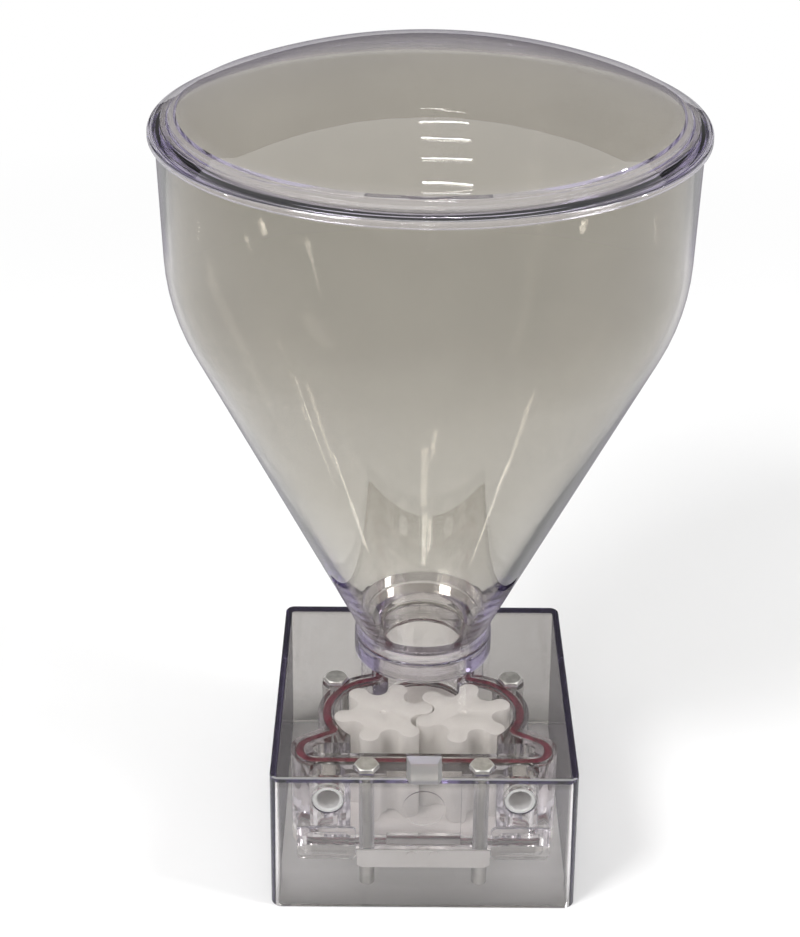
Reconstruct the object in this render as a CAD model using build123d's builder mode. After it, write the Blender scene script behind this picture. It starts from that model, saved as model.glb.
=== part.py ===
"""Pump head and hopper of a pastry filler: a clear hood over a two-gear pump, with a lift-out hopper
and a domed lid.

Millimetres, +Z up. The origin is on the hopper's axis, on the surface that the hood stands on.
-Y is the outlet side. The pump is a clear body clamped between the hood's roof and a white bottom
plate by four bolts, and sealed above and below by a cord that follows the outline of its chamber.
"""

import os
from math import cos, radians, sin, tan

from build123d import *

os.makedirs("parts", exist_ok=True)

# Hood, a drafted box that is open below
hood_width = 180.0
hood_front = -138.0
hood_rear = 44.0
hood_height = 96.0
hood_draft = 0.8
hood_wall = 4.0
roof = 5.0
hood_corner = 7.0
hood_edge = 1.0
notch_width = 20.6
notch_depth = 4.0
notch_back = -116.6
notch_draft = 30.0

# Collar on the roof that takes the hopper's spigot
collar_radius = 43.5
collar_height = 13.5
collar_bore = 31.9
collar_lip = 1.0

# Hopper
spigot_radius = 31.8
spigot_bore = 28.4
spigot_lift = 0.4
shoulder_radius = 43.0
shoulder_gap = 0.3
cone_slope = 0.4736
cone_foot_radius = 38.7
cone_foot_height = 110.0
flare_foot = 111.0
knee_radius = 150.0
knee_blend = 120.0
wall_top_radius = 151.8
wall_top_height = 444.4
wall_top_round = 0.8
hopper_wall = 3.5
neck_seal_section = 1.2
neck_seal_height = 104.0

# Lid
lid_radius = 155.7
lid_foot = 441.7
lid_shelf = 444.7
lid_shoulder = 445.2
lid_shoulder_round = 5.0
lid_skirt_gap = 0.5
crease_radius = 139.5
crease_height = 454.0
crown_rise = 27.7
lid_wall = 2.2

# Gear pump
teeth = 6
gear_spread = 24.3
gear_y = -70.0
tooth_play = 0.17
tip_gap = 0.38
face_gap = 0.3
gear_phase = 10.0
gate_mark_radius = 2.2
gate_mark_depth = 1.2
plate_top = 40.0
throat_half = 22.0
discharge_half = 44.0
discharge_front = -111.3
discharge_back = -86.0
discharge_slot = 5.0

# Cord seals, round cords that are squeezed to an oval in their grooves
cord_half = 2.5
cord_rise = 1.6
groove_half = 2.55
groove_depth = 3.25
lobe_spread = 24.8
lobe_y = -69.0
lobe_seal = 34.2
throat_seal = 34.1
neck_half = 27.0
wing_x = 63.5
wing_front = -116.9
wing_seal = 10.4
wing_angle = 30.0
cusp_blend = 3.0
neck_blend = 6.0

# Pump body
body_wall = 2.8
flange_half = 67.0
flange_front = -131.9
flange_back = -112.0
rear_boss = 8.5
panel_half = 22.0
panel_depth = 4.0
panel_sill = 4.0
disc_radius = 12.5
disc_height = 68.0
disc_raise = 0.8
block_inner = 40.0
block_outer = 75.3
block_foot = 33.0
block_top = 57.5
block_front = -133.4
block_back = -117.0
skirt_back = -126.0
block_corner = 3.5
block_edge = 1.2
window_margin = 4.5
window_corner = 2.5
window_depth = 1.5

# Outlets
outlet_x = 56.0
outlet_z = 80.0
outlet_bore = 6.75
sleeve_radius = 9.5
sleeve_fit = 0.05
sleeve_back = -121.0
sleeve_chamfer = 0.8

# Bottom plate
plate_foot = 27.0
wing_foot = 32.0
keel_half = 36.5
keel_slope_end = 45.0
keel_plan_half = 39.6
plate_front = -133.0
plate_wing_front = -125.5
pip_radius = 3.4
pip_x = 6.9
pip_z = 36.0
pip_raise = 0.7

# Bolts, M8
bolt_radius = 4.0
bolt_hole = 4.5
bolt_tip = 28.6
bolt_tip_chamfer = 0.8
head_flats = 13.0
head_height = 5.3
head_chamfer = 0.5
pocket_flats = 14.0
pocket_depth = 3.2
front_bolt_x = 33.7
front_bolt_y = -126.5
rear_bolt_x = 54.4
rear_bolt_y = -39.3
insert_radius = 4.9
insert_thread_foot = 28.0
dowel_radius = 4.6
dowel_tip = 11.0
dowel_chamfer = 0.8

# Shafts and bearings
shaft_radius = 7.0
shaft_top = 78.0
drive_spigot_radius = 6.0
drive_spigot_top = 26.5
drive_spigot_foot = 12.0
drive_socket_flats = 6.0
drive_socket_depth = 8.0
axle_radius = 6.0
bush_fit = 0.05
drive_bush_radius = 10.0
idler_bush_radius = 9.0
lip_seal_height = 4.0
lip_seal_radius = 12.0

# Worked-out sizes
hood_depth = hood_rear - hood_front
hood_mid = (hood_rear + hood_front) / 2
hood_flare = hood_height * tan(radians(hood_draft))
roof_under = hood_height - roof
collar_top = hood_height + collar_height
body_height = roof_under - plate_top
shoulder = collar_top + shoulder_gap
knee_height = cone_foot_height + (knee_radius - cone_foot_radius) / cone_slope
pitch_radius = gear_spread
tooth_round = pitch_radius * sin(radians(90 / teeth)) - tooth_play
gap_round = pitch_radius * sin(radians(90 / teeth)) + tooth_play
gear_bore = pitch_radius + tooth_round + tip_gap
gear_foot = plate_top + face_gap
gear_top = roof_under - face_gap
head_seat = hood_height - pocket_depth
block_mid = (block_inner + block_outer) / 2
block_width = block_outer - block_inner
block_height = block_top - block_foot
front_bolts = [(-front_bolt_x, front_bolt_y), (front_bolt_x, front_bolt_y)]
rear_bolts = [(-rear_bolt_x, rear_bolt_y), (rear_bolt_x, rear_bolt_y)]
sides = {"left": -1, "right": 1}


def corner_radius(flats):
    """Centre to corner of a hexagon, from the width across its flats."""
    return flats / 2 / cos(radians(30))


def sides_of(x, y):
    """A place and its mirror image across the part's middle."""
    return Locations((-x, y), (x, y))


# The outline that both cord seals follow: a throat under the hopper, a lobe round each gear, and a wing
# out to each outlet
wing_corner = wing_x + wing_seal / tan(radians(wing_angle / 2))
with BuildSketch() as wings:
    with BuildLine():
        Polyline(
            (-wing_corner, wing_front),
            (wing_corner, wing_front),
            (0, wing_front + wing_corner * tan(radians(wing_angle))),
            close=True,
        )
    make_face()
    fillet(wings.vertices().filter_by(lambda v: abs(v.X) > wing_x), wing_seal)

with BuildSketch() as seal_outline:
    Circle(throat_seal)
    with sides_of(lobe_spread, lobe_y):
        Circle(lobe_seal)
    with Locations((0, lobe_y / 2)):
        Rectangle(2 * neck_half, -lobe_y)
    add(wings.sketch)
    necks = seal_outline.vertices().filter_by(lambda v: abs(abs(v.X) - neck_half) < 0.1)
    fillet(necks, neck_blend)
    cusps = seal_outline.vertices().filter_by(
        lambda v: neck_half < abs(v.X) < wing_x - cusp_blend and v.Y < lobe_y
    )
    fillet(cusps, cusp_blend)


def outline(grow):
    """The seal's outline, moved outwards by grow."""
    with BuildSketch() as grown:
        add(seal_outline.sketch)
        offset(amount=grow)
    return grown.sketch


groove_outer = outline(groove_half)
groove_inner = outline(-groove_half)
body_outline = outline(groove_half + body_wall)
seal_path = seal_outline.sketch.face().outer_wire()

# Hood with its collar, notch, bolt pockets and outlet holes
with BuildPart() as hood:
    with BuildSketch():
        with Locations((0, hood_mid)):
            RectangleRounded(hood_width + 2 * hood_flare, hood_depth + 2 * hood_flare, hood_corner)
    extrude(amount=hood_height, taper=hood_draft)
    fillet(hood.faces().sort_by(Axis.Z)[-1].edges(), hood_edge)
    with BuildSketch():
        with Locations((0, hood_mid)):
            RectangleRounded(
                hood_width + 2 * hood_flare - 2 * hood_wall,
                hood_depth + 2 * hood_flare - 2 * hood_wall,
                hood_corner - hood_wall,
            )
    extrude(amount=roof_under, taper=hood_draft, mode=Mode.SUBTRACT)
    with BuildSketch(Plane.XY.offset(roof_under)):
        Circle(collar_radius)
    extrude(amount=collar_top - roof_under)
    collar_rim = hood.faces().sort_by(Axis.Z)[-1].edges()
    fillet(collar_rim, collar_lip)
    with BuildSketch(Plane.XY.offset(roof_under)):
        Circle(collar_bore)
    extrude(amount=collar_top - roof_under, mode=Mode.SUBTRACT)
    with BuildSketch(Plane.XY.offset(hood_height)):
        with Locations((0, notch_back)):
            Rectangle(notch_width, 3 * notch_width, align=(Align.CENTER, Align.MAX))
    extrude(amount=-notch_depth, taper=notch_draft, mode=Mode.SUBTRACT)
    with BuildSketch(Plane.XY.offset(hood_height)):
        with Locations(front_bolts + rear_bolts):
            RegularPolygon(corner_radius(pocket_flats), 6)
    extrude(amount=-pocket_depth, mode=Mode.SUBTRACT)
    with BuildSketch(Plane.XY.offset(hood_height)):
        with Locations(front_bolts + rear_bolts):
            Circle(bolt_hole)
    extrude(amount=-2 * roof, mode=Mode.SUBTRACT)
    with BuildSketch(Plane.XZ.offset(-hood_front - 2 * hood_wall)):
        with sides_of(outlet_x, outlet_z):
            Circle(sleeve_radius + sleeve_fit)
    extrude(amount=4 * hood_wall, mode=Mode.SUBTRACT)

# Hopper: a turned shell from the spigot's foot to its mouth
inner_foot_radius = cone_foot_radius - hopper_wall * (1 + cone_slope**2) ** 0.5
flare = (inner_foot_radius - spigot_bore + cone_slope * (flare_foot - cone_foot_height)) / (1 - cone_slope)
with BuildPart() as hopper:
    with BuildSketch(Plane.XZ) as shell:
        with BuildLine():
            Polyline(
                (spigot_bore, roof_under + spigot_lift),
                (spigot_radius, roof_under + spigot_lift),
                (spigot_radius, shoulder),
                (shoulder_radius, shoulder),
                (shoulder_radius, cone_foot_height + (shoulder_radius - cone_foot_radius) / cone_slope),
                (knee_radius, knee_height),
                (wall_top_radius, wall_top_height),
                (wall_top_radius - hopper_wall, wall_top_height),
                (knee_radius - hopper_wall, knee_height),
                (spigot_bore + flare, flare_foot + flare),
                (spigot_bore, flare_foot),
                close=True,
            )
        make_face()
        knees = shell.vertices().filter_by(lambda v: abs(v.Y - knee_height) < 1)
        fillet(knees, knee_blend)
        fillet(shell.vertices().sort_by(Axis.Y)[-2:], wall_top_round)
    revolve(axis=Axis.Z)
    with BuildSketch(Plane.XY.offset(neck_seal_height - neck_seal_section)):
        Circle(spigot_radius + hopper_wall)
        Circle(spigot_radius - 2 * neck_seal_section, mode=Mode.SUBTRACT)
    extrude(amount=2 * neck_seal_section, mode=Mode.SUBTRACT)

with BuildPart() as neck_seal:
    with Locations((0, 0, neck_seal_height)):
        Torus(spigot_radius - neck_seal_section, neck_seal_section)

# Lid: a spherical crown inside a sloping shoulder, with a short skirt outside the hopper's mouth
crown = (crease_radius**2 + crown_rise**2) / (2 * crown_rise)
crown_top = crease_height + crown_rise
crown_centre = crown_top - crown
crown_mid = crown_centre + (crown**2 - crease_radius**2 / 4) ** 0.5
inside = (crown - lid_wall) / crown
under_crease = crown_centre + inside * (crease_height - crown_centre)
under_mid = crown_centre + inside * (crown_mid - crown_centre)
skirt_inner = wall_top_radius + lid_skirt_gap
with BuildPart() as lid:
    with BuildSketch(Plane.XZ) as lid_section:
        with BuildLine():
            ThreePointArc((crease_radius, crease_height), (crease_radius / 2, crown_mid), (0, crown_top))
            Line((0, crown_top), (0, crown_top - lid_wall))
            ThreePointArc(
                (0, crown_top - lid_wall),
                (inside * crease_radius / 2, under_mid),
                (inside * crease_radius, under_crease),
            )
            Polyline(
                (inside * crease_radius, under_crease),
                (skirt_inner, lid_shelf),
                (skirt_inner, lid_foot),
                (lid_radius, lid_foot),
                (lid_radius, lid_shoulder),
                (crease_radius, crease_height),
            )
        make_face()
        shoulder_bend = lid_section.vertices().filter_by(lambda v: abs(v.Y - lid_shoulder) < lid_wall / 4)
        fillet(shoulder_bend.sort_by(Axis.X)[-1], lid_shoulder_round)
    revolve(axis=Axis.Z)

# Two framed blocks that stand out in front of the pump body, each with a skirt before the bottom plate
with BuildPart() as framed_blocks:
    with BuildSketch(Plane.XZ.offset(-block_back)):
        with sides_of(block_mid, block_foot + block_height / 2):
            RectangleRounded(block_width, block_height, block_corner)
    extrude(amount=block_back - block_front)
    fillet(framed_blocks.faces().sort_by(Axis.Y)[:2].edges(), block_edge)
    with BuildSketch(Plane.XZ.offset(-block_front)):
        with sides_of(block_mid, block_foot + block_height / 2):
            RectangleRounded(block_width - 2 * window_margin, block_height - 2 * window_margin, window_corner)
    extrude(amount=-window_depth, mode=Mode.SUBTRACT)
    with BuildSketch(Plane.XY.offset(block_foot)):
        with Locations((0, skirt_back)):
            Rectangle(2 * block_outer, block_back - skirt_back, align=(Align.CENTER, Align.MIN))
    extrude(amount=plate_top - block_foot, mode=Mode.SUBTRACT)

# Pump body: a clear block round the gears, with a bolting flange, a recessed panel and the framed blocks
with BuildPart() as pump_body:
    with BuildSketch(Plane.XY.offset(plate_top)):
        add(body_outline)
        with Locations(rear_bolts):
            Circle(rear_boss)
        with Locations((0, flange_front)):
            Rectangle(2 * flange_half, flange_back - flange_front, align=(Align.CENTER, Align.MIN))
    extrude(amount=body_height)
    add(framed_blocks)
    with BuildSketch(Plane.XY.offset(plate_top + panel_sill)):
        with Locations((0, flange_front)):
            Rectangle(2 * panel_half, panel_depth, align=(Align.CENTER, Align.MIN))
    extrude(amount=body_height, mode=Mode.SUBTRACT)
    with BuildSketch(Plane.XZ.offset(-flange_front - panel_depth)):
        with Locations((0, disc_height)):
            Circle(disc_radius)
    extrude(amount=disc_raise)
    with BuildSketch(Plane.XY.offset(plate_top)):
        Circle(spigot_bore)
        with Locations((0, gear_y / 2)):
            Rectangle(2 * throat_half, -gear_y)
        with sides_of(gear_spread, gear_y):
            Circle(gear_bore)
        with Locations((0, discharge_front)):
            Rectangle(2 * discharge_half, discharge_back - discharge_front, align=(Align.CENTER, Align.MIN))
        with Locations((0, discharge_front + discharge_slot)):
            SlotOverall(2 * (wing_x + discharge_slot / 2), 2 * discharge_slot)
    extrude(amount=body_height, mode=Mode.SUBTRACT)
    for groove_floor in (plate_top, roof_under - groove_depth):
        with BuildSketch(Plane.XY.offset(groove_floor)):
            add(groove_outer)
            add(groove_inner, mode=Mode.SUBTRACT)
        extrude(amount=groove_depth, mode=Mode.SUBTRACT)
    with BuildSketch(Plane.XY.offset(plate_top)):
        with Locations(front_bolts + rear_bolts):
            Circle(bolt_hole)
    extrude(amount=body_height, mode=Mode.SUBTRACT)
    with BuildSketch(Plane.XZ.offset(-discharge_front - discharge_slot)):
        with sides_of(outlet_x, outlet_z):
            Circle(outlet_bore)
    extrude(amount=discharge_front - 2 * flange_front, mode=Mode.SUBTRACT)
    with BuildSketch(Plane.XZ.offset(-sleeve_back)):
        with sides_of(outlet_x, outlet_z):
            Circle(sleeve_radius + sleeve_fit)
    extrude(amount=sleeve_back - flange_front, mode=Mode.SUBTRACT)

# Cord seals, one in each groove
across = (seal_path % 0).cross(Vector(0, 0, 1))
upper_path = seal_path.moved(Location((0, 0, roof_under - cord_rise)))
with BuildPart() as chamber_seal:
    with BuildSketch(Plane(origin=upper_path @ 0, x_dir=across, z_dir=upper_path % 0)):
        Ellipse(cord_half, cord_rise)
    sweep(path=upper_path)

lower_path = seal_path.moved(Location((0, 0, plate_top + cord_rise)))
with BuildPart() as plate_seal:
    with BuildSketch(Plane(origin=lower_path @ 0, x_dir=across, z_dir=lower_path % 0)):
        Ellipse(cord_half, cord_rise)
    sweep(path=lower_path)

# Bottom plate with a deeper keel between the front bolts
with BuildPart() as bottom_plate:
    with BuildSketch(Plane.XY.offset(plate_foot)):
        add(body_outline)
        with Locations(rear_bolts):
            Circle(rear_boss)
        with Locations((0, plate_wing_front)):
            Rectangle(2 * flange_half, flange_back - plate_wing_front, align=(Align.CENTER, Align.MIN))
        with Locations((0, plate_front)):
            Rectangle(2 * keel_plan_half, flange_back - plate_front, align=(Align.CENTER, Align.MIN))
    extrude(amount=plate_top - plate_foot)
    with BuildSketch(Plane.XZ.offset(-hood_rear)):
        with BuildLine():
            Polyline(
                (keel_half, plate_foot),
                (keel_slope_end, wing_foot),
                (hood_width / 2, wing_foot),
                (hood_width / 2, plate_foot),
                close=True,
            )
        make_face()
        mirror(about=Plane.YZ)
    extrude(amount=hood_depth, mode=Mode.SUBTRACT)
    with BuildSketch(Plane.XZ.offset(-plate_front)):
        with sides_of(pip_x, pip_z):
            Circle(pip_radius)
    extrude(amount=pip_raise)
    with BuildSketch(Plane.XY.offset(plate_foot)):
        with Locations(front_bolts + rear_bolts):
            Circle(insert_radius)
        with Locations((-gear_spread, gear_y)):
            Circle(drive_bush_radius)
        with Locations((gear_spread, gear_y)):
            Circle(axle_radius)
    extrude(amount=plate_top - plate_foot, mode=Mode.SUBTRACT)
    with BuildSketch(Plane.XY.offset(plate_top - lip_seal_height)):
        with Locations((-gear_spread, gear_y)):
            Circle(lip_seal_radius)
    extrude(amount=lip_seal_height, mode=Mode.SUBTRACT)


def gear_face(first_tooth):
    """Six round teeth: each tip and each gap is an arc centred on the pitch circle."""
    with BuildSketch() as face:
        with BuildLine():
            for tooth in range(teeth):
                tip_at = first_tooth + tooth * 360 / teeth
                gap_at = tip_at + 180 / teeth
                tip = Vector(pitch_radius, 0).rotate(Axis.Z, tip_at)
                gap = Vector(pitch_radius, 0).rotate(Axis.Z, gap_at)
                gap_before = Vector(pitch_radius, 0).rotate(Axis.Z, gap_at - 360 / teeth)
                tip_after = Vector(pitch_radius, 0).rotate(Axis.Z, tip_at + 360 / teeth)
                rise = tip + (gap_before - tip).normalized() * tooth_round
                fall = tip + (gap - tip).normalized() * tooth_round
                next_rise = tip_after + (gap - tip_after).normalized() * tooth_round
                crest = tip + tip.normalized() * tooth_round
                root = gap - gap.normalized() * gap_round
                ThreePointArc(rise, crest, fall)
                ThreePointArc(fall, root, next_rise)
        make_face()
    return face.sketch


drive_face = gear_face(gear_phase)
idler_face = gear_face(180 - gear_phase + 180 / teeth)

# Drive gear on its shaft: the shaft ends below the plate in a round spigot with a hexagon socket
drive_place = Plane(origin=(-gear_spread, gear_y, 0))
with BuildPart() as drive_gear:
    with BuildSketch(drive_place.offset(gear_foot)):
        add(drive_face)
        Circle(shaft_radius, mode=Mode.SUBTRACT)
    extrude(amount=shaft_top - gear_foot)
    with BuildSketch(drive_place.offset(shaft_top)):
        add(drive_face)
    extrude(amount=gear_top - shaft_top)
    with BuildSketch(drive_place.offset(gear_top)):
        Circle(gate_mark_radius)
    extrude(amount=-gate_mark_depth, mode=Mode.SUBTRACT)

with BuildPart() as drive_shaft:
    with BuildSketch(drive_place.offset(drive_spigot_foot)):
        Circle(drive_spigot_radius)
    extrude(amount=drive_spigot_top - drive_spigot_foot)
    with BuildSketch(drive_place.offset(drive_spigot_top)):
        Circle(shaft_radius)
    extrude(amount=shaft_top - drive_spigot_top)
    with BuildSketch(drive_place.offset(drive_spigot_foot)):
        RegularPolygon(corner_radius(drive_socket_flats), 6)
    extrude(amount=drive_socket_depth, mode=Mode.SUBTRACT)

with BuildPart() as drive_bush:
    with BuildSketch(drive_place.offset(plate_foot)):
        Circle(drive_bush_radius)
        Circle(shaft_radius + bush_fit, mode=Mode.SUBTRACT)
    extrude(amount=plate_top - lip_seal_height - plate_foot)

with BuildPart() as shaft_seal:
    with BuildSketch(drive_place.offset(plate_top - lip_seal_height)):
        Circle(lip_seal_radius)
        Circle(shaft_radius + bush_fit, mode=Mode.SUBTRACT)
    extrude(amount=lip_seal_height)

# Idler gear: its bush turns with it on an axle that is pressed into the plate
idler_place = Plane(origin=(gear_spread, gear_y, 0))
with BuildPart() as idler_gear:
    with BuildSketch(idler_place.offset(gear_foot)):
        add(idler_face)
        Circle(idler_bush_radius, mode=Mode.SUBTRACT)
    extrude(amount=shaft_top - gear_foot)
    with BuildSketch(idler_place.offset(shaft_top)):
        add(idler_face)
    extrude(amount=gear_top - shaft_top)
    with BuildSketch(idler_place.offset(gear_top)):
        Circle(gate_mark_radius)
    extrude(amount=-gate_mark_depth, mode=Mode.SUBTRACT)

with BuildPart() as idler_bush:
    with BuildSketch(idler_place.offset(gear_foot)):
        Circle(idler_bush_radius)
        Circle(axle_radius + bush_fit, mode=Mode.SUBTRACT)
    extrude(amount=shaft_top - gear_foot)

with BuildPart() as idler_axle:
    with BuildSketch(idler_place.offset(plate_foot)):
        Circle(axle_radius)
    extrude(amount=shaft_top - 2 * face_gap - plate_foot)

# Name and write the single pieces
pieces = {
    "hood": hood,
    "hopper": hopper,
    "neck_seal": neck_seal,
    "lid": lid,
    "pump_body": pump_body,
    "chamber_seal": chamber_seal,
    "plate_seal": plate_seal,
    "bottom_plate": bottom_plate,
    "drive_gear": drive_gear,
    "drive_shaft": drive_shaft,
    "drive_bush": drive_bush,
    "shaft_seal": shaft_seal,
    "idler_gear": idler_gear,
    "idler_bush": idler_bush,
    "idler_axle": idler_axle,
}

# Four bolts down through the roof and the body, each in a thread insert in the plate. Below the plate
# the insert goes on as a solid dowel, which locates the pump on its base.
for row, places in {"front": front_bolts, "rear": rear_bolts}.items():
    insert_foot = plate_foot if row == "front" else wing_foot
    for side, place in zip(sides, places):
        seat = Plane(origin=(*place, head_seat))
        with BuildPart() as bolt:
            with BuildSketch(seat):
                RegularPolygon(corner_radius(head_flats), 6)
            extrude(amount=head_height)
            chamfer(bolt.faces().sort_by(Axis.Z)[-1].edges(), head_chamfer)
            with BuildSketch(seat):
                Circle(bolt_radius)
            extrude(amount=bolt_tip - head_seat)
            chamfer(bolt.faces().sort_by(Axis.Z)[0].edges(), bolt_tip_chamfer)
        pieces[f"{row}_{side}_bolt"] = bolt
        with BuildPart() as insert:
            with BuildSketch(Plane(origin=(*place, dowel_tip))):
                Circle(dowel_radius)
            extrude(amount=insert_foot - dowel_tip)
            chamfer(insert.faces().sort_by(Axis.Z)[0].edges(), dowel_chamfer)
            with BuildSketch(Plane(origin=(*place, insert_foot))):
                Circle(insert_radius)
            extrude(amount=plate_top - insert_foot)
            with BuildSketch(Plane(origin=(*place, insert_thread_foot))):
                Circle(bolt_radius)
            extrude(amount=plate_top - insert_thread_foot, mode=Mode.SUBTRACT)
        pieces[f"{row}_{side}_insert"] = insert

# Outlet sleeves, pressed through the hood's front into the pump body
for side, hand in sides.items():
    with BuildPart() as sleeve:
        with BuildSketch(Plane.XZ.offset(-sleeve_back)):
            with Locations((hand * outlet_x, outlet_z)):
                Circle(sleeve_radius)
                Circle(outlet_bore, mode=Mode.SUBTRACT)
        extrude(amount=sleeve_back - hood_front)
        chamfer(sleeve.faces().sort_by(Axis.Y)[0].edges(), sleeve_chamfer)
    pieces[f"outlet_sleeve_{side}"] = sleeve

for name, piece in pieces.items():
    piece.part.label = name
    export_step(piece.part, f"parts/{name}.step")
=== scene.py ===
from math import acos, atan2, cos, degrees, hypot, pi, radians, sin, sqrt, tan

import bmesh
import bpy
from mathutils import Matrix, Vector


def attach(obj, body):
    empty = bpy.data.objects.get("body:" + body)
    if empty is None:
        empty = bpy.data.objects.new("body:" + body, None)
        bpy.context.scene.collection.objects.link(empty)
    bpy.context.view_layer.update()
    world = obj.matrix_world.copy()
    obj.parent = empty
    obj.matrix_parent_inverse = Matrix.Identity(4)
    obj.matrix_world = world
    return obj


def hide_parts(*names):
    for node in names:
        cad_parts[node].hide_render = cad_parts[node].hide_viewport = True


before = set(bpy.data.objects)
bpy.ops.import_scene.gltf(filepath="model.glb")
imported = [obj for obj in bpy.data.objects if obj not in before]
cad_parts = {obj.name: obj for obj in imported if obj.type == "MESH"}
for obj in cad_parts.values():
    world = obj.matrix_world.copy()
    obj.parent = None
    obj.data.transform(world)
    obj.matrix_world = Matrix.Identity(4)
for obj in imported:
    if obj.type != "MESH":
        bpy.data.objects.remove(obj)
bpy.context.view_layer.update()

mm = 0.001


class Wire:
    """One output of a node, which stands in sums and products as a number does."""

    def __init__(self, graph, socket):
        self.graph = graph
        self.socket = socket

    def also(self, output):
        """Another output of the same node."""
        return Wire(self.graph, self.socket.node.outputs[output])

    def maths(self, operation, first, second):
        return self.graph.node("ShaderNodeMath", {"operation": operation}, {0: first, 1: second})

    def __add__(self, other):
        return self.maths("ADD", self, other)

    def __radd__(self, other):
        return self.maths("ADD", other, self)

    def __sub__(self, other):
        return self.maths("SUBTRACT", self, other)

    def __rsub__(self, other):
        return self.maths("SUBTRACT", other, self)

    def __mul__(self, other):
        return self.maths("MULTIPLY", self, other)

    def __rmul__(self, other):
        return self.maths("MULTIPLY", other, self)

    def __truediv__(self, other):
        return self.maths("DIVIDE", self, other)

    def __rtruediv__(self, other):
        return self.maths("DIVIDE", other, self)

    def __lt__(self, other):
        return self.maths("LESS_THAN", self, other)

    def __gt__(self, other):
        return self.maths("GREATER_THAN", self, other)


class Graph:
    """A node tree under construction."""

    def __init__(self, tree):
        self.tree = tree

    def node(self, kind, settings=None, sockets=None, out=0):
        """Adds a node: its settings come first, then the values or wires of its sockets."""
        made = self.tree.nodes.new(kind)
        for name, value in (settings or {}).items():
            if name == "stops":
                ramp = made.color_ramp
                while len(ramp.elements) < len(value):
                    ramp.elements.new(1.0)
                for stop, (place, shade) in zip(ramp.elements, value):
                    stop.position = place
                    stop.color = (shade, shade, shade, 1.0)
            else:
                setattr(made, name, value)
        for name, value in (sockets or {}).items():
            if isinstance(value, (Wire, list)):
                for wire in value if isinstance(value, list) else [value]:
                    self.tree.links.new(wire.socket, made.inputs[name])
            else:
                made.inputs[name].default_value = value
        return Wire(self, made.outputs[out]) if made.outputs else None

    def noise(self, scale, detail=3.0, stretch=(1.0, 1.0, 1.0), turn=(0.0, 0.0, 0.0)):
        """Soft noise on the piece's own coordinates, turned and stretched along its axes."""
        place = self.node("ShaderNodeTexCoord", out="Object")
        laid = self.node("ShaderNodeMapping", {}, {"Vector": place, "Rotation": turn, "Scale": stretch})
        return self.node("ShaderNodeTexNoise", {}, {"Vector": laid, "Scale": scale, "Detail": detail})

    def ramp(self, wire, *stops):
        """A value spread again between stops of (place, value)."""
        return self.node("ShaderNodeValToRGB", {"stops": stops}, {"Fac": wire})

    def blend(self, share, first, second):
        """Two colours, or a wire and a colour, mixed by a share."""
        ends = [end if isinstance(end, Wire) else (*end, 1.0) for end in (first, second)]
        return self.node("ShaderNodeMix", {"data_type": "RGBA"}, {0: share, 6: ends[0], 7: ends[1]}, out=2)

    def bump(self, height, strength, distance):
        return self.node("ShaderNodeBump", {}, {"Height": height, "Strength": strength, "Distance": distance})

    def solid(self, sockets):
        """Ends a material in one surface."""
        surface = self.node("ShaderNodeBsdfPrincipled", {}, sockets)
        self.node("ShaderNodeOutputMaterial", {}, {"Surface": surface})


def finish(name):
    """A new material, with its empty graph."""
    made = bpy.data.materials.new(name)
    made.use_nodes = True
    made.node_tree.nodes.clear()
    return made, Graph(made.node_tree)


def paint(piece, material):
    """Gives a piece one material."""
    piece.data.materials.clear()
    piece.data.materials.append(material)


milled_white, g = finish("milled_white_plastic")
grey_white, bright_white = (0.80, 0.775, 0.745), (0.88, 0.862, 0.84)
cloud = g.noise(38.0, 2.0)
grain = g.noise(1400.0, 2.0)
cutter_marks = g.noise(60.0, 4.0, (1.0, 14.0, 3.0))
g.solid(
    {
        "Base Color": g.blend(g.ramp(cloud, (0.3, 0.0), (0.72, 1.0)), grey_white, bright_white),
        "Roughness": 0.36 + cutter_marks * 0.16,
        "Normal": g.bump(grain * 0.5 + cutter_marks, 0.12, 0.0004),
        "IOR": 1.48,
    }
)
paint(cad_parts["bottom_plate"], milled_white)

# Thread inserts: stainless bushes, turned and pressed into the plate from below. Each has a blind M8
# thread above and a round dowel end below, which locates the pump on its base.
turned_steel, g = finish("turned_stainless")
lathe_lines = g.noise(240.0, 3.0, (0.4, 0.4, 9.0))
stain = g.noise(90.0, 3.0)
g.solid(
    {
        "Base Color": g.blend(g.ramp(stain, (0.35, 0.0), (0.7, 1.0)), (0.47, 0.46, 0.44), (0.63, 0.62, 0.60)),
        "Metallic": 1.0,
        "Roughness": 0.26 + lathe_lines * 0.22,
        "Normal": g.bump(lathe_lines, 0.2, 0.0002),
    }
)
for row in ("front", "rear"):
    for side in ("left", "right"):
        paint(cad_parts[f"{row}_{side}_insert"], turned_steel)

# Drive shaft and idler axle, with their bushes and the lip seal: ground steel in turned bronze. A black
# rubber lip keeps the filling out of the drive bush.
bronze, g = finish("turned_bronze")
rings = g.noise(300.0, 2.0, (0.3, 0.3, 10.0))
g.solid(
    {
        "Base Color": g.blend(rings, (0.44, 0.30, 0.13), (0.60, 0.43, 0.21)),
        "Metallic": 1.0,
        "Roughness": 0.28 + rings * 0.2,
        "Normal": g.bump(rings, 0.2, 0.0002),
    }
)
black_rubber, g = finish("black_rubber")
dust = g.noise(420.0, 4.0)
g.solid(
    {
        "Base Color": g.blend(dust, (0.012, 0.012, 0.013), (0.045, 0.044, 0.043)),
        "Roughness": 0.48 + dust * 0.2,
        "Normal": g.bump(dust, 0.15, 0.0002),
    }
)
paint(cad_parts["drive_shaft"], turned_steel)
paint(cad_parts["idler_axle"], turned_steel)
paint(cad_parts["drive_bush"], bronze)
paint(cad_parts["idler_bush"], bronze)
paint(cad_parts["shaft_seal"], black_rubber)


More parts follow.
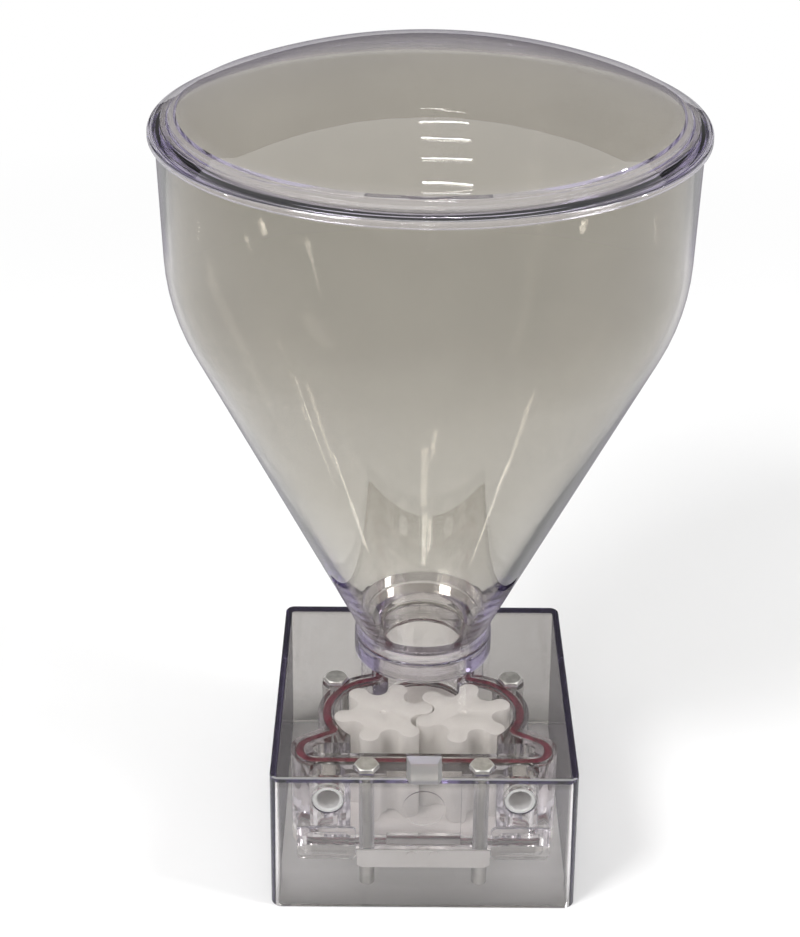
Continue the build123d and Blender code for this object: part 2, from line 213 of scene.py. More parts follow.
# Pump gears: a pair of moulded white plastic gears with six round teeth each. Every tip and every gap is
# an arc centred on the pitch circle. A sprue has left a round mark in the middle of each upper face.
class Jig(Graph):
    """A Geometry Nodes tree with named sizes, which makes pieces of one kind."""

    kinds = {int: "NodeSocketInt", float: "NodeSocketFloat", tuple: "NodeSocketVector"}

    def __init__(self, name, **sizes):
        super().__init__(bpy.data.node_groups.new(name, "GeometryNodeTree"))
        self.tree.interface.new_socket("Geometry", in_out="INPUT", socket_type="NodeSocketGeometry")
        self.tree.interface.new_socket("Geometry", in_out="OUTPUT", socket_type="NodeSocketGeometry")
        self.keys = {}
        for size, value in sizes.items():
            socket = self.tree.interface.new_socket(size, in_out="INPUT", socket_type=self.kinds[type(value)])
            socket.default_value = value
            self.keys[size] = socket.identifier
        self.start = self.node("NodeGroupInput")

    def moved(self, shape, place=(0.0, 0.0, 0.0), turn=(0.0, 0.0, 0.0), scale=(1.0, 1.0, 1.0)):
        return self.node(
            "GeometryNodeTransform",
            {},
            {"Geometry": shape, "Translation": place, "Rotation": turn, "Scale": scale},
        )

    def vector(self, x, y, z):
        return self.node("ShaderNodeCombineXYZ", {}, {0: x, 1: y, 2: z})

    def joined(self, *shapes):
        return self.node("GeometryNodeJoinGeometry", {}, {0: list(shapes)})

    def cut(self, block, *tools):
        """A block with the tools' shapes taken out of it."""
        return self.node("GeometryNodeMeshBoolean", {"solver": "EXACT"}, {0: block, 1: list(tools)})

    def common(self, *shapes):
        """What lies in all of the shapes."""
        settings = {"operation": "INTERSECT", "solver": "EXACT"}
        return self.node("GeometryNodeMeshBoolean", settings, {1: list(shapes)})

    def rod(self, radius, length, sides=48, rings=1):
        return self.node(
            "GeometryNodeMeshCylinder",
            {},
            {"Vertices": sides, "Side Segments": rings, "Radius": radius, "Depth": length},
        )

    def close(self, shape, material):
        """Ends the tree."""
        whole = self.node("GeometryNodeRealizeInstances", {}, {0: shape})
        coloured = self.node("GeometryNodeSetMaterial", {}, {"Geometry": whole, "Material": material})
        self.node("NodeGroupOutput", {}, {0: coloured})

    def make(self, name, start=None, soft_edge=0.0, sharp=30.0, **sizes):
        """A plain mesh from the tree, for these sizes: its edges are broken, and its flat faces stay flat."""
        carrier = bpy.data.objects.new(name, start or bpy.data.meshes.new(name))
        bpy.context.scene.collection.objects.link(carrier)
        tree_step = carrier.modifiers.new("jig", "NODES")
        tree_step.node_group = self.tree
        for size, value in sizes.items():
            tree_step[self.keys[size]] = value
        if soft_edge:
            edge_step = carrier.modifiers.new("edge", "BEVEL")
            edge_step.width = soft_edge
            edge_step.segments = 2
            edge_step.limit_method = "ANGLE"
            edge_step.angle_limit = radians(50)
        ready = carrier.evaluated_get(bpy.context.evaluated_depsgraph_get())
        mesh = bpy.data.meshes.new_from_object(ready)
        bpy.data.objects.remove(carrier)
        for face in mesh.polygons:
            face.use_smooth = True
        mesh.set_sharp_from_angle(angle=radians(sharp))
        made = bpy.data.objects.new(name, mesh)
        bpy.context.scene.collection.objects.link(made)
        return made


moulded_white, g = finish("moulded_white_plastic")
cloud = g.noise(55.0, 2.0)
grain = g.noise(1100.0, 2.0)
g.solid(
    {
        "Base Color": g.blend(g.ramp(cloud, (0.3, 0.0), (0.7, 1.0)), (0.83, 0.81, 0.785), (0.90, 0.885, 0.865)),
        "Roughness": 0.34 + cloud * 0.12,
        "Normal": g.bump(grain, 0.08, 0.0003),
        "IOR": 1.48,
    }
)

teeth = 6
pitch = 24.3 * mm
tooth_play = 0.17 * mm
half_tooth = pi / 2 / teeth
axis_y, gear_foot, gear_top, blind_end = -70.0 * mm, 40.3 * mm, 90.7 * mm, 78.0 * mm
jig = Jig("gear", pitch=pitch, tip=0.006, gap=0.0065, first=0.0, bore=0.007, axis=(0.0, 0.0, 0.0))
gap_at = (pitch * cos(2 * half_tooth), pitch * sin(2 * half_tooth), 0.0)
tip_arc = jig.node(
    "GeometryNodeCurveArc",
    {},
    {
        "Resolution": 29,
        "Radius": jig.start.also("tip"),
        "Start Angle": -pi / 2 - half_tooth,
        "Sweep Angle": pi + 2 * half_tooth,
    },
)
gap_arc = jig.node(
    "GeometryNodeCurveArc",
    {},
    {
        "Resolution": 21,
        "Radius": jig.start.also("gap"),
        "Start Angle": pi / 2 + 3 * half_tooth,
        "Sweep Angle": pi - 2 * half_tooth,
    },
)
tooth = jig.joined(
    jig.moved(tip_arc, jig.vector(jig.start.also("pitch"), 0.0, 0.0)),
    jig.moved(gap_arc, gap_at),
)
index = jig.node("GeometryNodeInputIndex")
ring = jig.node(
    "GeometryNodeInstanceOnPoints",
    {},
    {
        "Points": jig.node("GeometryNodePoints", {}, {"Count": teeth}),
        "Instance": tooth,
        "Rotation": jig.vector(0.0, 0.0, index * (4 * half_tooth) + jig.start.also("first")),
    },
)
arcs = jig.node("GeometryNodeCurveToMesh", {}, {0: jig.node("GeometryNodeRealizeInstances", {}, {0: ring})})
loop = jig.node("GeometryNodeMergeByDistance", {}, {"Geometry": arcs, "Distance": 0.01 * mm})
outline = jig.node("GeometryNodeMeshToCurve", {}, {"Mesh": loop})
under = jig.node("GeometryNodeFillCurve", {"mode": "NGONS"}, {"Curve": outline})
sides = jig.node(
    "GeometryNodeExtrudeMesh",
    {},
    {"Mesh": under, "Offset": (0.0, 0.0, 1.0), "Offset Scale": gear_top - gear_foot},
)
block = jig.joined(sides, jig.node("GeometryNodeFlipFaces", {}, {"Mesh": under}))
block = jig.node("GeometryNodeMergeByDistance", {}, {"Geometry": block, "Distance": 0.01 * mm})
bore = jig.rod(jig.start.also("bore"), 2 * (blind_end - gear_foot), 64)
sprue_mark = jig.moved(jig.rod(2.2 * mm, 2.4 * mm, 32), (0.0, 0.0, gear_top - gear_foot))
gear = jig.cut(block, bore, sprue_mark)
jig.close(jig.moved(gear, jig.start.also("axis")), moulded_white)
gear_pair = (("drive", -pitch, radians(10), 7.0 * mm), ("idler", pitch, radians(200), 9.0 * mm))
for body, axis_x, first, bore_radius in gear_pair:
    gear = jig.make(
        f"{body}_gear_moulding",
        soft_edge=0.35 * mm,
        tip=pitch * sin(half_tooth) - tooth_play,
        gap=pitch * sin(half_tooth) + tooth_play,
        first=first,
        bore=bore_radius,
        axis=(axis_x, axis_y, gear_foot),
    )
    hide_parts(f"{body}_gear")
    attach(gear, body)

# Cord seals: two dark red rubber cords, squeezed to an oval in grooves above and below the pump's
# chamber. Both follow its outline: the throat, a neck, a lobe round each gear and a wing to each outlet.
red_cord, g = finish("red_cord")
deep_red, worn_red = (0.085, 0.002, 0.014), (0.19, 0.006, 0.032)
streak = g.noise(160.0, 4.0)
g.solid(
    {
        "Base Color": g.blend(g.ramp(streak, (0.35, 0.0), (0.68, 1.0)), deep_red, worn_red),
        "Roughness": 0.42 + streak * 0.2,
        "Normal": g.bump(streak, 0.2, 0.0003),
    }
)


def arc(centre, radius, first, last):
    """Points on an arc, from one angle to another in degrees."""
    steps = max(2, int(abs(last - first) / 5))
    turns = [radians(first + (last - first) * step / steps) for step in range(steps + 1)]
    return [(centre[0] + radius * cos(turn), centre[1] + radius * sin(turn)) for turn in turns]


throat, neck_half, neck_blend, lobe, cusp_blend = 34.1, 27.0, 6.0, 34.2, 3.0
lobe_centre = Vector((24.8, -69.0))
wing_centre, wing, wing_slope = Vector((63.5, -106.5)), 10.4, 30.0
bend_x = neck_half + neck_blend
throat_bend = Vector((bend_x, -sqrt((throat + neck_blend) ** 2 - bend_x**2)))
lobe_bend = Vector((bend_x, lobe_centre.y + sqrt((lobe + neck_blend) ** 2 - (bend_x - lobe_centre.x) ** 2)))
upwards = Vector((sin(radians(wing_slope)), cos(radians(wing_slope))))
outwards = Vector((upwards.y, -upwards.x))
rise = upwards.dot(wing_centre) + wing + cusp_blend - upwards.dot(lobe_centre)
cusp = lobe_centre + upwards * rise + outwards * sqrt((lobe + cusp_blend) ** 2 - rise**2)
throat_end = degrees(atan2(throat_bend.y, throat_bend.x))
lobe_start = degrees(atan2(lobe_bend.y - lobe_centre.y, lobe_bend.x - lobe_centre.x))
lobe_end = degrees(atan2(cusp.y - lobe_centre.y, cusp.x - lobe_centre.x))
right_half = (
    arc((0.0, 0.0), throat, 90, throat_end)
    + arc(throat_bend, neck_blend, throat_end + 180, 180)
    + arc(lobe_bend, neck_blend, 180, lobe_start + 180)
    + arc(lobe_centre, lobe, lobe_start, lobe_end)
    + arc(cusp, cusp_blend, lobe_end + 180, 270 - wing_slope)
    + arc(wing_centre, wing, 90 - wing_slope, -90)
)
cord_route = right_half + [(-x, y) for x, y in right_half[:0:-1]]

jig = Jig("cord", half_width=2.5 * mm, half_height=1.6 * mm)
oval = jig.moved(
    jig.node("GeometryNodeCurvePrimitiveCircle", {}, {"Resolution": 20, "Radius": 1.0}),
    scale=jig.vector(jig.start.also("half_width"), jig.start.also("half_height"), 1.0),
)
route = jig.node("GeometryNodeMeshToCurve", {}, {"Mesh": jig.start})
level = jig.node("GeometryNodeSetCurveNormal", {"mode": "Z_UP"}, {"Curve": route})
jig.close(jig.node("GeometryNodeCurveToMesh", {}, {"Curve": level, "Profile Curve": oval}), red_cord)
for name, height in (("chamber_seal", 89.4), ("plate_seal", 41.6)):
    line = bpy.data.meshes.new(name)
    line.from_pydata(
        [(x * mm, y * mm, height * mm) for x, y in cord_route],
        [(at, (at + 1) % len(cord_route)) for at in range(len(cord_route))],
        [],
    )
    cord = jig.make(f"{name}_cord", line, sharp=60.0)
    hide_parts(name)
    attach(cord, "base")


# Pump body: a block moulded in clear plastic round the gears, with a bolting flange, a recessed panel and
# two framed blocks in front. It is clamped between the hood's roof and the bottom plate.
def clear_plastic(name, tints, depth, wave, lamp_share, roof=None):
    """Clear moulded plastic, a little wavy, with smears and fine scratches, and matt where a cutter has been:
    its thickness is violet. A share of lit white on the matt faces is frosting, and a painted highlight where a
    piece marks an edge or a notch with it. Outer faces seen edge-on take a dark violet, which is painted shade
    at the silhouettes. Its tints go with the height as painted light and shade, and it lets a share of lamp
    light through, or all of it above the roof's height."""
    scratch_depth = 1.5e-5
    long_way, painted_edge_violet, frost_and_glare_white = (0.16, 0.06, 0.42), (0.035, 0.02, 0.055), (0.85, 0.84, 0.82)
    made, g = finish(name)
    smear = g.noise(16.0, 4.0)
    upright = g.noise(75.0, 5.0, (1.0, 1.0, 0.05))
    slanting = g.noise(60.0, 4.0, (1.0, 0.04, 1.0), (0.4, 0.7, 0.9))
    scratches = (upright + slanting * 0.6) * scratch_depth
    ripple = g.noise(22.0, 1.0) * wave
    height = g.node("ShaderNodeSeparateXYZ", {}, {0: g.node("ShaderNodeTexCoord", out="Object")}, out=2)
    tint = tints[0][1]
    for (low, _), (high, next_tint) in zip(tints, tints[1:]):
        tint = g.blend(g.node("ShaderNodeMapRange", {}, {0: height, 1: low, 2: high}), tint, next_tint)
    dull = g.ramp(smear, (0.35, 0.0), (0.75, 0.06))
    matt = g.node("ShaderNodeAttribute", {"attribute_name": "matt"}, out="Fac")
    surface = g.node(
        "ShaderNodeBsdfPrincipled",
        {},
        {
            "Base Color": g.blend(dull, tint, (0.0, 0.0, 0.0)),
            "Roughness": g.ramp(smear, (0.45, 0.005), (0.8, 0.05)) + matt * 0.4,
            "Normal": g.bump(ripple + scratches, 1.0, 1.0),
            "IOR": 1.585,
            "Transmission Weight": 1.0,
        },
    )
    # A share of lit white on matt faces: frosting, and a painted highlight where a piece marks it.
    frost_and_glare = g.node("ShaderNodeBsdfDiffuse", {}, {"Color": (*frost_and_glare_white, 1.0)})
    surface = g.node("ShaderNodeMixShader", {}, {0: matt * 0.35, 1: surface, 2: frost_and_glare})
    # Outer faces seen edge-on turn dark violet: painted shade at the silhouettes.
    facing = g.node("ShaderNodeLayerWeight", {}, {"Blend": 0.5}, out="Facing")
    outside = 1.0 - g.node("ShaderNodeNewGeometry", out="Backfacing")
    edge = g.node("ShaderNodeBsdfDiffuse", {}, {"Color": (*painted_edge_violet, 1.0)})
    painted_edge_share = g.ramp(facing, (0.78, 0.0), (0.98, 0.75)) * outside
    seen = g.node("ShaderNodeMixShader", {}, {0: painted_edge_share, 1: surface, 2: edge})
    passing = g.node("ShaderNodeBsdfTransparent", {}, {"Color": (0.96, 0.955, 0.94, 1.0)})
    shadow_ray = g.node("ShaderNodeLightPath", out="Is Shadow Ray")
    share = shadow_ray * (lamp_share + (height > roof) * (1.0 - lamp_share) if roof else lamp_share)
    both = g.node("ShaderNodeMixShader", {}, {0: share, 1: seen, 2: passing})
    inside = g.node("ShaderNodeVolumeAbsorption", {}, {"Color": (*long_way, 1.0), "Density": depth})
    g.node("ShaderNodeOutputMaterial", {}, {"Surface": both, "Volume": inside})
    return made


def copy_of(name):
    """A node's own shape as a new piece: its loose triangles are joined, and its smooth faces stay smooth."""
    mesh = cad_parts[name].data.copy()
    mesh.name = name + "_shape"
    facing = mesh.attributes.new("facing", "FLOAT_VECTOR", "CORNER")
    facing.data.foreach_set("vector", [n for corner in mesh.corner_normals for n in corner.vector])
    form = bmesh.new()
    form.from_mesh(mesh)
    bmesh.ops.remove_doubles(form, verts=form.verts, dist=1e-6)
    form.to_mesh(mesh)
    form.free()
    mesh.polygons.foreach_set("use_smooth", [True] * len(mesh.polygons))
    mesh.normals_split_custom_set([corner.vector.copy() for corner in mesh.attributes["facing"].data])
    mesh.attributes.remove(mesh.attributes["facing"])
    made = bpy.data.objects.new(name + "_shape", mesh)
    bpy.context.scene.collection.objects.link(made)
    return made


body_plastic = clear_plastic("clear_body", [(0.0, (0.96, 0.955, 0.935))], 4.0, 8e-5, 1.0)
body_foot, body_top, film = 40.0 * mm, 91.0 * mm, 0.06 * mm
bolt_hole = 4.52 * mm
bolt_rows = (("front", 33.7 * mm, -126.5 * mm), ("rear", 54.4 * mm, -39.3 * mm))
pump_body = copy_of("pump_body")
for corner in pump_body.data.vertices:
    if corner.co.z > body_top - 0.01 * mm:
        corner.co.z = body_top - film
    elif abs(corner.co.z - body_foot) < 0.01 * mm:
        corner.co.z = body_foot + film
paint(pump_body, body_plastic)
drilled = pump_body.data.attributes.new("matt", "FLOAT", "FACE")
for face in pump_body.data.polygons:
    for _, across, along in bolt_rows:
        off_axis = hypot(abs(face.center.x) - across, face.center.y - along)
        if off_axis < bolt_hole and abs(face.normal.z) < 0.1:
            drilled.data[face.index].value = 1.0
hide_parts("pump_body")
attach(pump_body, "base")

# Outlet sleeves: short tubes of natural, hazy plastic, turned and pressed through the hood's front into
# the pump body. A nozzle or a hose goes on each from outside.
sleeve_plastic, g = finish("hazy_sleeve")
rings = g.noise(220.0, 3.0, (1.0, 6.0, 1.0))
g.solid(
    {
        "Base Color": g.blend(rings, (0.80, 0.79, 0.775), (0.90, 0.89, 0.875)),
        "Roughness": 0.22 + rings * 0.2,
        "Normal": g.bump(rings, 0.1, 0.0002),
        "IOR": 1.5,
        "Transmission Weight": 0.55,
    }
)
for side in ("left", "right"):
    sleeve = copy_of(f"outlet_sleeve_{side}")
    paint(sleeve, sleeve_plastic)
    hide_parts(f"outlet_sleeve_{side}")
    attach(sleeve, "base")

# Hood: a thick-walled box moulded in clear plastic, open below, with a collar for the hopper, a notch in its
# front edge and a hexagon pocket round each bolt head. Long ways through its edges look violet. Its tint is
# painted shade at the foot and over the roof, and painted light in the walls and collar. The front edge and the
# notch carry a painted highlight.
# Height bands of tint: painted shade at the foot and on the roof, painted light in the walls and the collar.
foot_painted_tint, wall_painted_tint = (0.54, 0.53, 0.50), (0.93, 0.92, 0.89)
roof_painted_shade, collar_painted_light = (0.62, 0.61, 0.57), (0.93, 0.92, 0.89)
hood_painted_tints = [(0.0, foot_painted_tint), (0.026, wall_painted_tint), (0.088, wall_painted_tint), (0.0905, roof_painted_shade)]
hood_painted_tints += [(0.0962, roof_painted_shade), (0.0975, collar_painted_light)]
hood_plastic = clear_plastic("clear_hood", hood_painted_tints, 16.0, 5e-5, 0.0, roof=0.0905)
hood = copy_of("hood")
paint(hood, hood_plastic)
# The front edge and the notch get the lit white share as a painted highlight, and a rougher surface.
painted_glare = hood.data.attributes.new("matt", "FLOAT", "FACE")
notch_half, notch_back, notch_low, notch_high = 10.4 * mm, -116.5 * mm, 91.5 * mm, 95.99 * mm
front_edge, glare_share = -136.0 * mm, 0.7
for face in hood.data.polygons:
    across, along, height = face.center
    in_notch = abs(across) < notch_half and along < notch_back and notch_low < height < notch_high
    glare_edge = along < front_edge and face.normal.y < -0.1 and face.normal.z > 0.1
    if glare_edge or (in_notch and face.normal.y > -0.9):
        painted_glare.data[face.index].value = glare_share
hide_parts("hood")
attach(hood, "base")

# Bolts: four stainless hexagon bolts, M8, cold headed with a rolled thread on the lower part. They go down
# through the roof and the pump body into the inserts, and clamp the pump together.
bolt_steel, g = finish("bolt_steel")
wear = g.noise(260.0, 4.0)
g.solid(
    {
        "Base Color": g.blend(g.ramp(wear, (0.35, 0.0), (0.7, 1.0)), (0.54, 0.525, 0.495), (0.74, 0.725, 0.69)),
        "Metallic": 1.0,
        "Roughness": 0.28 + wear * 0.25,
        "Normal": g.bump(wear, 0.2, 0.0002),
    }
)
shank, flats, head_height, head_seat, bolt_tip = 4.0 * mm, 13.0 * mm, 5.3 * mm, 92.8 * mm, 28.6 * mm
length = head_seat - bolt_tip
jig = Jig(
    "bolt",
    shank=shank,
    flats=flats,
    lead=1.25 * mm,
    thread_depth=0.38 * mm,
    thread_length=0.030,
    seat=(0.0, 0.0, 0.0),
)
hexagon = jig.node(
    "GeometryNodeMeshCylinder",
    {},
    {"Vertices": 6, "Radius": jig.start.also("flats") / sqrt(3), "Depth": head_height - 0.3 * mm},
)
crown_cone = jig.node(
    "GeometryNodeMeshCone",
    {},
    {
        "Vertices": 64,
        "Radius Top": jig.start.also("flats") * 0.475,
        "Radius Bottom": jig.start.also("flats") * 0.475 + head_height / tan(radians(30)),
        "Depth": head_height,
    },
)
head = jig.common(jig.moved(hexagon, (0.0, 0.0, head_height / 2 + 0.15 * mm)), crown_cone)
washer_face = jig.moved(jig.rod(jig.start.also("flats") * 0.47, 0.6 * mm, 64), (0.0, 0.0, 0.33 * mm))
bar = jig.moved(jig.rod(jig.start.also("shank"), length, 40, 400), (0.0, 0.0, -length / 2))
place = jig.node("GeometryNodeInputPosition")
x = jig.node("ShaderNodeSeparateXYZ", {}, {0: place})
y, z = x.also(1), x.also(2)
turn = jig.node("ShaderNodeMath", {"operation": "ARCTAN2"}, {0: y, 1: x}) / (2 * pi)
thread_turn = z / jig.start.also("lead") - turn
groove = jig.node("ShaderNodeMath", {"operation": "PINGPONG"}, {0: thread_turn, 1: 0.5}) * 2.0
threaded = (z < jig.start.also("thread_length") - length) * (z > 0.0002 - length)
narrowed = 1.0 - groove * threaded * jig.start.also("thread_depth") / jig.start.also("shank")
rolled = jig.node(
    "GeometryNodeSetPosition", {}, {"Geometry": bar, "Position": jig.vector(x * narrowed, y * narrowed, z)}
)
jig.close(jig.moved(jig.joined(head, washer_face, rolled), jig.start.also("seat")), bolt_steel)
for row, across, along in bolt_rows:
    for side, hand in (("left", -1), ("right", 1)):
        seat = (hand * across, along, head_seat)
        bolt = jig.make(f"{row}_{side}_hexagon_bolt", sharp=25.0, seat=seat)
        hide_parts(f"{row}_{side}_bolt")
        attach(bolt, "base")


# Hopper: a cone with a cylinder above and a spigot below, blown in clear plastic. The spigot stands in the
# hood's collar, and a pale silicone ring in its groove seals it.
def rounded(corners, turn=4.0):
    """A closed outline of (radius, height, rounding) corners, with each rounding drawn as an arc."""
    drawn = []
    for at, (x, y, rounding) in enumerate(corners):
        if not rounding:
            drawn.append((x, y))
            continue
        before = Vector(corners[at - 1][:2])
        after = Vector(corners[(at + 1) % len(corners)][:2])
        here = Vector((x, y))
        back, on = (before - here).normalized(), (after - here).normalized()
        half = back.angle(on) / 2
        start = here + back * rounding / tan(half)
        centre = here + (back + on).normalized() * rounding / sin(half)
        swing = (start - centre).angle_signed(here + on * rounding / tan(half) - centre)
        steps = max(3, int(abs(swing) / radians(turn)))
        first = start - centre
        for step in range(steps + 1):
            a = -swing * step / steps
            drawn.append(
                (centre.x + first.x * cos(a) - first.y * sin(a), centre.y + first.x * sin(a) + first.y * cos(a))
            )
    return drawn


def turned(name, section, segments):
    """A solid of revolution about the hopper's axis, from a closed section in millimetres."""
    form = bmesh.new()
    rings = []
    for radius, height in section:
        if radius < 1e-6:
            rings.append([form.verts.new((0, 0, height * mm))])
            continue
        turns = [2 * pi * step / segments for step in range(segments)]
        rings.append(
            [form.verts.new((radius * cos(turn) * mm, radius * sin(turn) * mm, height * mm)) for turn in turns]
        )
    for here, there in zip(rings, rings[1:] + rings[:1]):
        if len(here) == 1 and len(there) == 1:
            continue
        for step in range(segments):
            after = (step + 1) % segments
            if len(here) == 1:
                form.faces.new((here[0], there[after], there[step]))
            elif len(there) == 1:
                form.faces.new((here[step], here[after], there[0]))
            else:
                form.faces.new((here[step], here[after], there[after], there[step]))
    bmesh.ops.recalc_face_normals(form, faces=form.faces)
    mesh = bpy.data.meshes.new(name)
    form.to_mesh(mesh)
    form.free()
    for face in mesh.polygons:
        face.use_smooth = True
    mesh.set_sharp_from_angle(angle=radians(24))
    made = bpy.data.objects.new(name, mesh)
    bpy.context.scene.collection.objects.link(made)
    return made


# The hopper's tint changes with height: painted light at the neck, painted shade up the cone and the cylinder,
# and lighter again at the mouth.
foot_painted_tint, cone_painted_tint = (0.86, 0.85, 0.80), (0.60, 0.58, 0.52)
wall_painted_tint, mouth_tint = (0.55, 0.53, 0.475), (0.90, 0.89, 0.86)
hopper_painted_tints = [(0.11, foot_painted_tint), (0.26, cone_painted_tint), (0.38, wall_painted_tint)]
hopper_painted_tints += [(0.439, wall_painted_tint), (0.442, mouth_tint)]
hopper_plastic = clear_plastic("clear_hopper", hopper_painted_tints, 12.0, 6e-5, 0.4)
slope = 0.4736
wall = 3.5
cone_inner_foot = 38.7 - wall * sqrt(1 + slope**2)
flare = (cone_inner_foot - 28.4 + slope * 1.0) / (1 - slope)
knee = 110.0 + (150.0 - 38.7) / slope
hopper = turned(
    "hopper_shell",
    rounded(
        [
            (28.4, 91.4, 0.5),
            (31.8, 91.4, 0.5),
            (31.8, 102.8, 0),
            (29.4, 102.8, 0),
            (29.4, 105.2, 0),
            (31.8, 105.2, 0),
            (31.8, 109.8, 0.4),
            (43.0, 109.8, 1.2),
            (43.0, 110.0 + (43.0 - 38.7) / slope, 2.0),
            (150.0, knee, 120.0),
            (151.8, 444.4, 0.8),
            (148.3, 444.4, 0.8),
            (146.5, knee, 120.0),
            (28.4 + flare, 111.0 + flare, 3.0),
            (28.4, 111.0, 2.0),
        ]
    ),
    288,
)
paint(hopper, hopper_plastic)
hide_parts("hopper")
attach(hopper, "hopper")

silicone, g = finish("pale_silicone")
cloud = g.noise(180.0, 3.0)
g.solid(
    {
        "Base Color": g.blend(cloud, (0.80, 0.79, 0.76), (0.88, 0.87, 0.84)),
        "Roughness": 0.3 + cloud * 0.15,
        "Normal": g.bump(cloud, 0.1, 0.0002),
        "Transmission Weight": 0.6,
        "IOR": 1.41,
    }
)
paint(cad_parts["neck_seal"], silicone)

# Lid: a shallow dome moulded in clear plastic, with a thick sloping rim, three fine steps round it and a short
# skirt. It lies loose on the hopper's mouth, and the skirt keeps it in place.
# The brim and the skirt take a lighter tint than the dome: painted light.
lid_painted_tints = [(0.4515, (0.94, 0.93, 0.91)), (0.4545, (0.745, 0.725, 0.655))]
lid_plastic = clear_plastic("clear_lid", lid_painted_tints, 32.0, 1e-4, 0.4)
crease, crease_height, crown_rise, lid_wall = 139.5, 454.0, 27.7, 2.2
crown = (crease**2 + crown_rise**2) / (2 * crown_rise)
crown_centre = crease_height + crown_rise - crown
reach = acos((crease_height - crown_centre) / crown)
swings = [reach * step / 40 for step in range(41)]
outside = [(crown * sin(swing), crown_centre + crown * cos(swing)) for swing in swings]
under = [((crown - lid_wall) * sin(swing), crown_centre + (crown - lid_wall) * cos(swing)) for swing in swings]
brim = rounded(
    [
        (*under[-1], 0),
        (138.9, 449.0, 0.8),
        (142.4, 447.4, 0.8),
        (143.2, 445.6, 0.8),
        (146.9, 444.7, 0.4),
        (152.3, 444.7, 0.3),
        (152.3, 441.7, 0.3),
        (155.7, 441.7, 0.4),
        (155.7, 445.2, 2.0),
        (152.6, 446.7, 0.3),
        (152.2, 447.1, 0.3),
        (148.4, 449.0, 0.3),
        (148.0, 449.4, 0.3),
        (144.0, 451.4, 0.3),
        (143.6, 451.8, 0.3),
        (*outside[-1], 0),
    ]
)
lid = turned("lid_dome", under[:-1] + brim + outside[-2::-1], 288)
paint(lid, lid_plastic)
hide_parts("lid")
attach(lid, "lid")

# Floor: a plain white sheet. It keeps the shadow near the object, and further off it looks plain white.
half, near, away = 9.0, 0.5, 1.3
floor_mesh = bpy.data.meshes.new("floor")
floor_mesh.from_pydata(
    [(-half, -half, 0), (half, -half, 0), (half, half, 0), (-half, half, 0)], [], [(0, 1, 2, 3)]
)
floor = bpy.data.objects.new("floor", floor_mesh)
bpy.context.scene.collection.objects.link(floor)
floor.location.z = -0.0004
floor_white, g = finish("floor_white")
paper = g.noise(3.0, 2.0)
lit = g.node("ShaderNodeBsdfDiffuse", {}, {"Color": g.blend(paper, (0.93, 0.93, 0.93), (0.95, 0.95, 0.95))})
place = g.node("ShaderNodeTexCoord", out="Object")
distance = g.node("ShaderNodeVectorMath", {"operation": "LENGTH"}, {0: place}, out=1)
far = g.node("ShaderNodeMapRange", {}, {0: distance, 1: near, 2: away})
ray = g.node("ShaderNodeLightPath", out="Is Camera Ray")
seen = far * (ray + ray.also("Is Glossy Ray") + ray.also("Is Transmission Ray"))
white = g.node("ShaderNodeEmission", {}, {"Color": (1.0, 1.0, 1.0, 1.0), "Strength": 1.0})
both = g.node("ShaderNodeMixShader", {}, {0: seen, 1: lit, 2: white})
g.node("ShaderNodeOutputMaterial", {}, {"Surface": both})
paint(floor, floor_white)

# Light: a pale room that looks white, a row of lamps overhead, a softbox on each side, and strips and small
# lamps that leave streaks and glints. A grey screen behind shows in reflections only, as on the hood's roof.
world = bpy.data.worlds.new("studio")
bpy.context.scene.world = world
world.use_nodes = True
world.node_tree.nodes.clear()
g = Graph(world.node_tree)
ray = g.node("ShaderNodeLightPath", out="Is Camera Ray")
seen = ray + ray.also("Is Glossy Ray") + ray.also("Is Transmission Ray")
room = g.node("ShaderNodeBackground", {}, {"Color": (1.0, 1.0, 1.0, 1.0), "Strength": 0.62})
white = g.node("ShaderNodeBackground", {}, {"Color": (1.0, 1.0, 1.0, 1.0), "Strength": 1.0})
both = g.node("ShaderNodeMixShader", {}, {0: seen, 1: room, 2: white})
g.node("ShaderNodeOutputWorld", {}, {"Surface": both})


def softbox(name, place, aim, width, depth, watts):
    """A rectangular lamp that points at a place and can't be seen itself."""
    lamp = bpy.data.lights.new(name, "AREA")
    lamp.shape = "RECTANGLE"
    lamp.size, lamp.size_y = width, depth
    lamp.energy = watts
    made = bpy.data.objects.new(name, lamp)
    made.location = place
    made.rotation_mode = "QUATERNION"
    made.rotation_quaternion = (Vector(aim) - Vector(place)).to_track_quat("-Z", "Y")
    made.visible_camera = False
    bpy.context.scene.collection.objects.link(made)


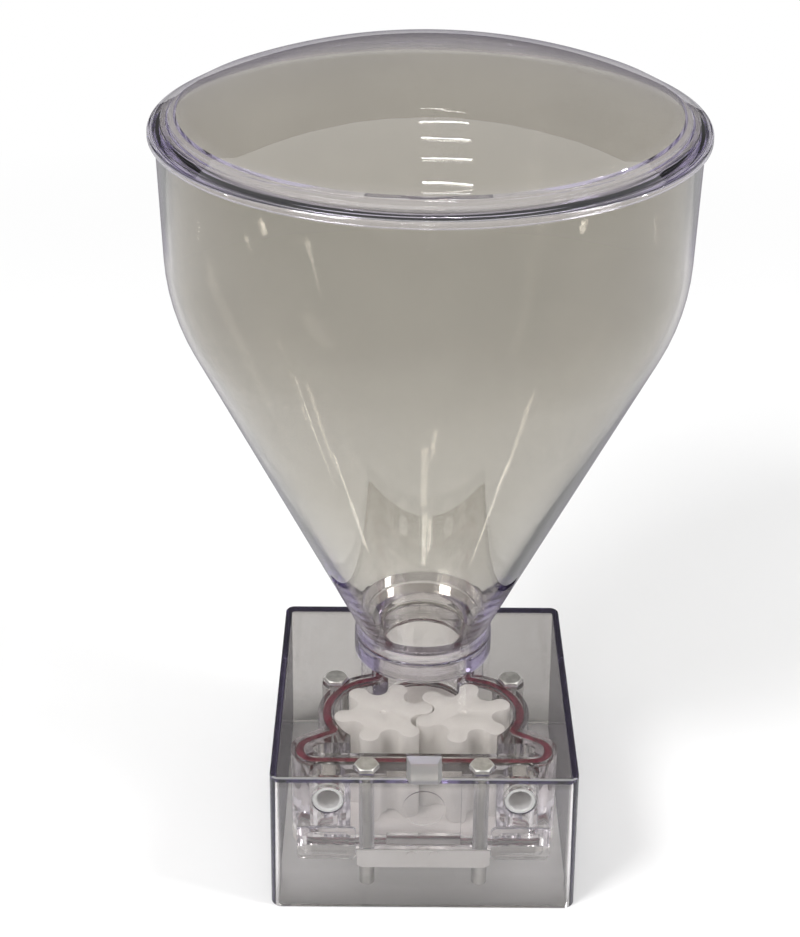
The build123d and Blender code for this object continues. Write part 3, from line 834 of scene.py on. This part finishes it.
half, behind, foot, top = 1.2, 1.0, 0.42, 1.5
screen_mesh = bpy.data.meshes.new("screen")
screen_mesh.from_pydata(
    [(-half, behind, foot), (half, behind, foot), (half, behind, top), (-half, behind, top)], [], [(0, 1, 2, 3)]
)
screen = bpy.data.objects.new("screen", screen_mesh)
bpy.context.scene.collection.objects.link(screen)
screen.visible_camera = screen.visible_diffuse = False
screen.visible_shadow = screen.visible_transmission = False
screen_grey, g = finish("screen_grey")
weave = g.noise(3.0, 2.0)
cloth = g.node("ShaderNodeEmission", {}, {"Color": g.blend(weave, (0.16, 0.16, 0.16), (0.22, 0.22, 0.22))})
g.node("ShaderNodeOutputMaterial", {}, {"Surface": cloth})
paint(screen, screen_grey)
row_x, row_start, row_step, ceiling = 0.12, 0.25, 0.34, 2.5
for row in range(7):
    along = row_start + row_step * row
    softbox(f"ceiling_lamp_{row}", (row_x, along, ceiling), (row_x, along, 0.0), 0.3, 0.016, 0.28)
softbox("key", (-1.4, -1.2, 2.2), (0, 0, 0.25), 0.9, 0.9, 40.0)
softbox("fill", (1.8, -0.6, 1.6), (0, 0, 0.25), 0.5, 1.2, 20.0)
softbox("right_strip", (2.95, -0.13, 0.56), (0, 0.04, 0.17), 0.15, 0.3, 7.0)
softbox("left_strip", (-2.93, -0.38, 0.63), (0, 0.04, 0.15), 0.15, 0.3, 7.0)
softbox("side_strip", (3.0, 0.45, 0.6), (0, 0.06, 0.25), 0.04, 0.3, 0.9)
softbox("front_lamp", (-0.03, -1.13, 0.52), (0, -0.117, 0.094), 0.12, 0.12, 0.8)
softbox("front_strip", (-0.5, -3.2, 1.25), (0, 0, 0.15), 0.25, 0.12, 3.0)

# Camera: at the photograph's angle, a long lens a metre away.
lens = bpy.data.cameras.new("camera")
lens.sensor_fit = "VERTICAL"
lens.sensor_height = 36.0
lens.lens = 71.73
camera = bpy.data.objects.new("camera", lens)
bpy.context.scene.collection.objects.link(camera)
dip, lean = radians(28.92), radians(0.37)
stand = Vector((-0.0153, -0.9965, 0.7754))
ahead = Vector((0, cos(dip), -sin(dip)))
level_up = Vector((0, sin(dip), cos(dip)))
right = Vector((1, 0, 0)) * cos(lean) + level_up * sin(lean)
top = level_up * cos(lean) - Vector((1, 0, 0)) * sin(lean)
camera.matrix_world = Matrix(
    (
        (right.x, top.x, -ahead.x, stand.x),
        (right.y, top.y, -ahead.y, stand.y),
        (right.z, top.z, -ahead.z, stand.z),
        (0, 0, 0, 1),
    )
)
bpy.context.scene.camera = camera
bpy.context.scene.view_settings.view_transform = "Standard"
paths = bpy.context.scene.cycles
paths.max_bounces = paths.glossy_bounces = paths.transmission_bounces = 48
paths.transparent_max_bounces = 32
